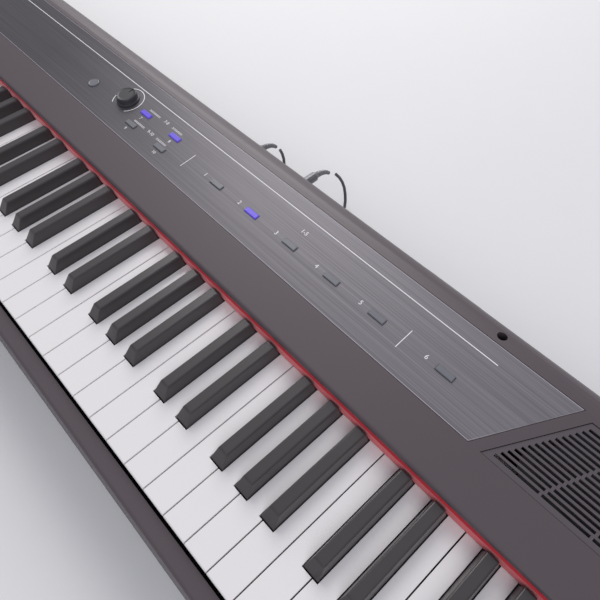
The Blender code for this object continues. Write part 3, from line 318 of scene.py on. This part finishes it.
def brushed_material(name, dark, light):
    """Metal brushed along the keyboard, lighter to the treble end as a painted highlight and darker to the
    bass end as painted shade.
    """
    made = material(name, light, 0.4, metallic=0.35, mottle=0.05, bump=0.00001)
    nodes, links = made.node_tree.nodes, made.node_tree.links
    shader = nodes["Principled BSDF"]
    place = nodes.new("ShaderNodeTexCoord")
    stretch = nodes.new("ShaderNodeMapping")
    stretch.inputs["Scale"].default_value = (5.0, 1400.0, 1400.0)
    streak = nodes.new("ShaderNodeTexNoise")
    streak.inputs["Scale"].default_value = 1.0
    streak.inputs["Detail"].default_value = 5.0
    links.new(place.outputs["Object"], stretch.inputs["Vector"])
    links.new(stretch.outputs["Vector"], streak.inputs["Vector"])
    split = nodes.new("ShaderNodeSeparateXYZ")
    links.new(place.outputs["Object"], split.inputs["Vector"])
    # Blends the painted shade at the bass end into the painted highlight at the treble end.
    along = nodes.new("ShaderNodeMapRange")
    along.inputs["From Min"].default_value = -0.15
    along.inputs["From Max"].default_value = 0.45
    links.new(split.outputs["X"], along.inputs["Value"])
    blend = nodes.new("ShaderNodeMix")
    blend.data_type = "RGBA"
    blend.inputs["A"].default_value = (*dark, 1.0)
    blend.inputs["B"].default_value = (*light, 1.0)
    links.new(along.outputs["Result"], blend.inputs["Factor"])
    tone = nodes.new("ShaderNodeMapRange")
    tone.inputs["From Min"].default_value = 0.3
    tone.inputs["From Max"].default_value = 0.7
    tone.inputs["To Min"].default_value = 0.72
    tone.inputs["To Max"].default_value = 1.25
    links.new(streak.outputs["Fac"], tone.inputs["Value"])
    tint = nodes.new("ShaderNodeVectorMath")
    tint.operation = "SCALE"
    links.new(blend.outputs["Result"], tint.inputs[0])
    links.new(tone.outputs["Result"], tint.inputs["Scale"])
    links.new(tint.outputs[0], shader.inputs["Base Color"])
    return made


def felt_material(name, colour):
    """Wool felt: fuzzy mottling and a soft sheen."""
    made = material(name, colour, 0.95, grain=2600.0, mottle=0.3, bump=0.0003)
    shader = made.node_tree.nodes["Principled BSDF"]
    shader.inputs["Sheen Weight"].default_value = 0.5
    return made


def lit_material(name, colour, strength):
    """Translucent plastic lit from inside."""
    made = material(name, colour, 0.3, mottle=0.1)
    shader = made.node_tree.nodes["Principled BSDF"]
    shader.inputs["Emission Color"].default_value = (*colour, 1.0)
    shader.inputs["Emission Strength"].default_value = strength
    return made


def dress(name, made):
    """Puts one material on a CAD node."""
    obj = NODES[name]
    obj.data.materials.clear()
    obj.data.materials.append(made)


def soften(name, width, segments=3):
    """Rounds a CAD node's sharp edges with modifiers only."""
    obj = NODES[name]
    weld = obj.modifiers.new("weld", "WELD")
    weld.merge_threshold = 0.00001
    bevel = obj.modifiers.new("edges", "BEVEL")
    bevel.width = width
    bevel.segments = segments
    bevel.limit_method = "ANGLE"
    bevel.angle_limit = math.radians(40)


# Things printed or set on the deck


def deck_matrix():
    return Matrix.Translation((0, LIP_Y, LIP_Z)) @ Matrix.Rotation(math.atan(DECK_SLOPE), 4, "X")


def new_mesh(name, vertices, faces, made):
    mesh = bpy.data.meshes.new(name)
    mesh.from_pydata(vertices, [], faces)
    mesh.update()
    obj = bpy.data.objects.new(name, mesh)
    bpy.context.scene.collection.objects.link(obj)
    mesh.materials.append(made)
    return obj


def strip(points, width):
    """A flat ribbon along deck points (x, v): its vertices and faces."""
    vertices, faces = [], []
    count = len(points)
    for i, point in enumerate(points):
        here = Vector(point)
        before = Vector(points[max(i - 1, 0)])
        after = Vector(points[min(i + 1, count - 1)])
        along = (after - before).normalized()
        side = Vector((-along.y, along.x)) * width / 2
        for end in (here - side, here + side):
            vertices.append((end.x, end.y, PANEL_TOP + PRINT_LIFT))
    for i in range(count - 1):
        faces.append((2 * i, 2 * i + 2, 2 * i + 3, 2 * i + 1))
    return vertices, faces


def print_strips(name, strips, made):
    vertices, faces = [], []
    for points, width in strips:
        more, quads = strip(points, width)
        base = len(vertices)
        vertices += more
        faces += [[base + i for i in quad] for quad in quads]
    obj = new_mesh(name, vertices, faces, made)
    obj.matrix_world = deck_matrix()
    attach(obj, "case")


def print_number(name, text, x, v, size, made):
    curve = bpy.data.curves.new(name, "FONT")
    curve.body = text
    curve.size = size
    curve.align_x = "CENTER"
    curve.align_y = "CENTER"
    curve.resolution_u = 3
    curve.materials.append(made)
    obj = bpy.data.objects.new(name, curve)
    bpy.context.scene.collection.objects.link(obj)
    obj.matrix_world = deck_matrix() @ Matrix.Translation((x, v, PANEL_TOP + PRINT_LIFT))
    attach(obj, "case")


def panel_edge(inset):
    """The panel's outline on the deck, drawn in from its edge, for the painted highlight along it."""
    front_half = PANEL_FRONT_HALF - inset
    rear_half = PANEL_FRONT_HALF + PANEL_SPREAD * (PANEL_REAR_V - PANEL_FRONT_V) - inset
    front, rear = PANEL_FRONT_V + inset, PANEL_REAR_V - inset
    return [
        (-front_half, front),
        (front_half, front),
        (rear_half, rear),
        (-rear_half, rear),
        (-front_half, front),
    ]


def knob_arc():
    """The printed arc round the knob."""
    points = []
    for i in range(ARC_STEPS + 1):
        angle = math.radians(ARC_START - ARC_SWEEP * i / ARC_STEPS)
        points.append((KNOB_X + ARC_RADIUS * math.cos(angle), KNOB_V + ARC_RADIUS * math.sin(angle)))
    return points


def panel_lines():
    """The panel's straight lines, each as its points and width."""
    left, right, v = LONG_LINE
    lines = [([(left, v), (right, v)], LONG_LINE_WIDTH)]
    for x in SEPARATOR_X:
        lines.append(([(x, end) for end in SEPARATOR_V], SEPARATOR_WIDTH))
    for left, right, v in BRACKETS:
        for offset in (-BRACKET_OFFSET, BRACKET_OFFSET):
            lines.append(([(left, v + offset), (right, v + offset)], BRACKET_WIDTH))
    return lines


def eased(start, end, steps=10):
    """Points from one place to another that leave and arrive along X."""
    points = []
    for i in range(steps + 1):
        t = i / steps
        ease = t * t * (3 - 2 * t)
        x = start[0] + (end[0] - start[0]) * t
        y = start[1] + (end[1] - start[1]) * ease
        z = start[2] + (end[2] - start[2]) * ease
        points.append((x, y, z))
    return points


def turn_points(radius, z):
    """One turn of the bundle: round the far tip, back, and round the near tip."""
    points = []
    for centre, first in ((HANK_RUN, -math.pi / 2), (-HANK_RUN, math.pi / 2)):
        for i in range(TIP_STEPS + 1):
            angle = first + math.pi * i / TIP_STEPS
            points.append((centre + radius * math.cos(angle), radius * math.sin(angle), z))
    return points


def bundle_path():
    """The cord through its bundle: in at mid height, two turns low, two turns high, and out at mid height."""
    entry = (ENTRY_END_X, 0, HANK_MID)
    leave = (HIGH_SHIFT_END_X, -LEAVE_Y, HANK_HIGH)
    path = eased((-HANK_LENGTH / 2, 0, HANK_MID), entry, 2)
    path += eased(entry, (HANK_RUN, -TURN_INNER, HANK_LOW))[1:-1]
    path += turn_points(TURN_INNER, HANK_LOW)
    path += eased((LOW_SHIFT_X[0], -TURN_INNER, HANK_LOW), (LOW_SHIFT_X[1], -TURN_OUTER, HANK_LOW))
    path += turn_points(TURN_OUTER, HANK_LOW)[:-1]
    path += eased((-HANK_RUN, -TURN_OUTER, HANK_LOW), (RISE_END_X, -TURN_OUTER, HANK_HIGH))
    path += turn_points(TURN_OUTER, HANK_HIGH)[:-1]
    path += eased((-HANK_RUN, -TURN_OUTER, HANK_HIGH), (HIGH_SHIFT_END_X, -TURN_INNER, HANK_HIGH))
    path += turn_points(TURN_INNER, HANK_HIGH)[:-1]
    path += eased((-HANK_RUN, -TURN_INNER, HANK_HIGH), leave)
    path += eased(leave, (LEAVE_END_X, 0, HANK_MID))[1:]
    path.append((HANK_LENGTH / 2, 0, HANK_MID))
    return path


def make_tie(name, centre_x, made):
    """The thin band round the middle of a bundle."""
    ring = [
        (-TIE_SIDE, TIE_BOTTOM),
        (TIE_SIDE, TIE_BOTTOM),
        (TIE_SIDE, TIE_TOP),
        (-TIE_SIDE, TIE_TOP),
    ]
    edges = (centre_x - TIE_HALF_WIDTH, centre_x + TIE_HALF_WIDTH)
    vertices = [(x, HANK_Y + y, z) for x in edges for y, z in ring]
    faces = [(i, (i + 1) % 4, 4 + (i + 1) % 4, 4 + i) for i in range(4)]
    obj = new_mesh(f"{name}_tie", vertices, faces, made)
    skin = obj.modifiers.new("thickness", "SOLIDIFY")
    skin.thickness = TIE_THICKNESS
    skin.offset = 0.0
    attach(obj, "case")
    return obj


def make_lead(name, route, heading, made):
    """A lead as one round cord from its plug's sleeve through its bundle to its far end."""
    centre_x = route[-1][0] + heading * (GAP + HANK_LENGTH / 2)
    points = list(route) + [(centre_x + heading * x, HANK_Y + y, z) for x, y, z in bundle_path()]
    curve = bpy.data.curves.new(f"{name}_cord", "CURVE")
    curve.dimensions = "3D"
    curve.bevel_depth = CORD_RADIUS
    curve.bevel_resolution = 3
    curve.use_fill_caps = True
    spline = curve.splines.new("POLY")
    spline.points.add(len(points) - 1)
    for point, place in zip(spline.points, points):
        point.co = (*place, 1.0)
    curve.materials.append(made)
    obj = bpy.data.objects.new(f"{name}_cord", curve)
    bpy.context.scene.collection.objects.link(obj)
    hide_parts(name, f"{name}_hank")
    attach(obj, "case")
    tie = make_tie(name, centre_x, made)


# Operators


class PIANO_OT_case(bpy.types.Operator):
    """Dress the case, its feet and everything inside it"""

    bl_idname = "piano.case"
    bl_label = "Dress Case"

    def execute(self, context):
        colour = settings().case_colour
        shell = material("case_finish", colour, 0.46, grain=1500.0, mottle=0.10, bump=0.00005)
        for name in ("case_top", "case_bottom"):
            dress(name, shell)
        rubber = material("foot_rubber", (0.03, 0.03, 0.03), 0.85)
        for number in range(1, 5):
            dress(f"foot_{number}", rubber)
        steel = material("bed_steel", (0.45, 0.46, 0.47), 0.35, metallic=0.9)
        dress("key_bed", steel)
        laminate = material("board_laminate", (0.03, 0.16, 0.07), 0.5)
        for name in ("contact_board", "control_board", "jack_board"):
            dress(name, laminate)
        driver = material("driver_cone", (0.02, 0.02, 0.022), 0.7)
        for name in ("speaker_left", "speaker_right"):
            dress(name, driver)
        return {"FINISHED"}


class PIANO_OT_panel(bpy.types.Operator):
    """Dress the control panel, print its lines and plain numbers, and paint a highlight along its edge"""

    bl_idname = "piano.panel"
    bl_label = "Dress Panel"

    def execute(self, context):
        s = settings()
        dress("control_panel", brushed_material("brushed_panel", s.panel_shaded_bass, s.panel_lit_treble))
        ink = material("print_ink", (0.90, 0.89, 0.91), 0.5, mottle=0.05)
        print_strips("panel_lines", panel_lines(), ink)
        v = BUTTON_ROW_V + NUMBER_LIFT
        for i in range(VOICE_BUTTONS):
            x = VOICE_X + i * VOICE_PITCH - NUMBER_SETBACK
            print_number(f"voice_number_{i + 1}", str(i + 1), x, v, NUMBER_SIZE, ink)
        print_number("split_number", str(VOICE_BUTTONS + 1), SPLIT_X - NUMBER_SETBACK, v, NUMBER_SIZE, ink)
        for name, words, x, heading_v, size in HEADINGS:
            print_number(name, words, x, heading_v, size, ink)
        for row, row_v in enumerate(MODE_ROWS):
            for column in range(2):
                number = str(FIRST_MODE_NUMBER + 2 * row + column)
                x = MODE_X + column * MODE_PITCH
                name = f"mode_number_{row}_{column}"
                print_number(name, number, x, row_v - MODE_NUMBER_DROP, MODE_NUMBER_SIZE, ink)
        print_strips("knob_arc", [(knob_arc(), ARC_WIDTH)], ink)
        # The light line round the panel is a painted highlight, not print.
        edge = material("panel_edge_painted_highlight", (0.42, 0.38, 0.43), 0.3, mottle=0.05)
        print_strips("panel_edge_highlight", [(panel_edge(HIGHLIGHT_INSET), HIGHLIGHT_WIDTH)], edge)
        return {"FINISHED"}


class PIANO_OT_controls(bpy.types.Operator):
    """Dress the buttons and the volume knob"""

    bl_idname = "piano.controls"
    bl_label = "Dress Controls"

    def execute(self, context):
        s = settings()
        plain = material("button_plastic", (0.17, 0.175, 0.195), 0.32, mottle=0.06)
        lit = lit_material("button_lit", s.glow_colour, s.glow_strength)
        for name in NODES:
            if "button" in name:
                dress(name, lit if name in LIT else plain)
                soften(name, 0.0003, 2)
        dress("volume_knob", material("knob_plastic", (0.045, 0.042, 0.048), 0.38, mottle=0.08))
        return {"FINISHED"}


def is_black_key(name):
    """Combs of sharps, and the single sharps of the octave from C6."""
    return name.startswith("sharps_") or (name.startswith("key_") and name.endswith("s6"))


def is_white_key(name):
    """Combs of naturals, and the single naturals of the octave from C6."""
    if name == "key_bed" or is_black_key(name):
        return False
    return name.startswith(("naturals_", "key_"))


class PIANO_OT_keys(bpy.types.Operator):
    """Dress and round the keys and dress the felt behind them"""

    bl_idname = "piano.keys"
    bl_label = "Dress Keys"

    def execute(self, context):
        s = settings()
        white = material(
            "white_key", (0.86, 0.835, 0.845), 0.22, grain=300.0, mottle=0.02, bump=0.000005, coat=0.25
        )
        black = material("black_key", (0.060, 0.053, 0.056), 0.30, grain=1600.0, mottle=0.12, bump=0.00003)
        for name in NODES:
            if is_white_key(name):
                dress(name, white)
                soften(name, s.key_round)
            elif is_black_key(name):
                dress(name, black)
                soften(name, s.key_round)
        dress("felt_strip", felt_material("red_felt", s.felt_colour))
        return {"FINISHED"}


class PIANO_OT_grilles(bpy.types.Operator):
    """Dress the speaker grilles"""

    bl_idname = "piano.grilles"
    bl_label = "Dress Grilles"

    def execute(self, context):
        finish = material("grille_plastic", (0.095, 0.080, 0.090), 0.42, grain=1500.0)
        for name in ("grille_left", "grille_right"):
            dress(name, finish)
        return {"FINISHED"}


class PIANO_OT_cords(bpy.types.Operator):
    """Lay the power and audio leads with their plugs and bundles"""

    bl_idname = "piano.cords"
    bl_label = "Lay Cords"

    def execute(self, context):
        jacket = material("cord_jacket", (0.10, 0.095, 0.105), 0.42, grain=1200.0)
        shiny = material("plug_body", (0.16, 0.155, 0.165), 0.28, mottle=0.06, coat=0.2)
        for name in ("power_plug", "audio_plug", "power_adapter", "audio_far_plug"):
            dress(name, shiny)
        make_lead("power_lead", POWER_ROUTE, 1, jacket)
        make_lead("audio_lead", AUDIO_ROUTE, -1, jacket)
        return {"FINISHED"}


class PIANO_OT_stage(bpy.types.Operator):
    """Set the floor, the lights and the camera"""

    bl_idname = "piano.stage"
    bl_label = "Set Stage"

    def execute(self, context):
        scene = context.scene
        left, right = -FLOOR_HALF, FLOOR_HALF
        corners = [
            (left, left, FLOOR_Z),
            (right, left, FLOOR_Z),
            (right, right, FLOOR_Z),
            (left, right, FLOOR_Z),
        ]
        paint = material("floor_paint", (0.80, 0.80, 0.81), 0.7, grain=40.0, mottle=0.02)
        floor = new_mesh("floor", corners, [(0, 1, 2, 3)], paint)
        world = bpy.data.worlds.new("studio")
        world.use_nodes = True
        background = world.node_tree.nodes["Background"]
        background.inputs["Color"].default_value = (0.92, 0.93, 1.0, 1.0)
        background.inputs["Strength"].default_value = 0.42
        scene.world = world
        add_light("window", (-1.3, 1.6, 1.7), (0.1, 0.05, 0.05), 1.8, 52.0, (1.0, 0.98, 0.97))
        add_light("fill", (1.6, -1.2, 1.6), (0.3, 0.0, 0.05), 1.6, 16.0, (0.96, 0.97, 1.0))
        add_camera(scene)
        scene.view_settings.view_transform = "Standard"
        return {"FINISHED"}


def add_light(name, place, target, size, power, colour):
    light = bpy.data.lights.new(name, "AREA")
    light.size = size
    light.energy = power
    light.color = colour
    obj = bpy.data.objects.new(name, light)
    obj.location = place
    aim = Vector(target) - Vector(place)
    obj.rotation_euler = aim.to_track_quat("-Z", "Y").to_euler()
    bpy.context.scene.collection.objects.link(obj)


def add_camera(scene):
    """The camera at the photograph's viewing angle."""
    camera = bpy.data.cameras.new("photo_view")
    camera.sensor_width = 36.0
    camera.lens = CAMERA_LENS
    camera.clip_start = 0.01
    obj = bpy.data.objects.new("photo_view", camera)
    turn = Matrix((CAMERA_RIGHT, CAMERA_UP, CAMERA_BACK)).transposed().to_4x4()
    obj.matrix_world = Matrix.Translation(CAMERA_PLACE) @ turn
    scene.collection.objects.link(obj)
    scene.camera = obj


class PIANO_PT_panel(bpy.types.Panel):
    """The sidebar's list of settings and steps"""

    bl_label = "Digital Piano"
    bl_idname = "PIANO_PT_panel"
    bl_space_type = "VIEW_3D"
    bl_region_type = "UI"
    bl_category = "Piano"

    def draw(self, context):
        layout = self.layout
        for name in PianoSettings.__annotations__:
            layout.prop(settings(), name)
        for operator in OPERATORS:
            layout.operator(operator.bl_idname)


OPERATORS = (
    PIANO_OT_case,
    PIANO_OT_panel,
    PIANO_OT_controls,
    PIANO_OT_keys,
    PIANO_OT_grilles,
    PIANO_OT_cords,
    PIANO_OT_stage,
)
CLASSES = (PianoSettings, *OPERATORS, PIANO_PT_panel)


def register():
    for cls in CLASSES:
        bpy.utils.register_class(cls)
    bpy.types.Scene.piano_settings = PointerProperty(type=PianoSettings)


def unregister():
    del bpy.types.Scene.piano_settings
    for cls in reversed(CLASSES):
        bpy.utils.unregister_class(cls)


def plain(box):
    return [[float(value) for value in corner] for corner in box]


def main():
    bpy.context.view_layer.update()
    register()
    bpy.ops.piano.case()
    bpy.ops.piano.panel()
    bpy.ops.piano.controls()
    bpy.ops.piano.keys()
    bpy.ops.piano.grilles()
    bpy.ops.piano.cords()
    bpy.ops.piano.stage()


if __name__ == "__main__":
    main()
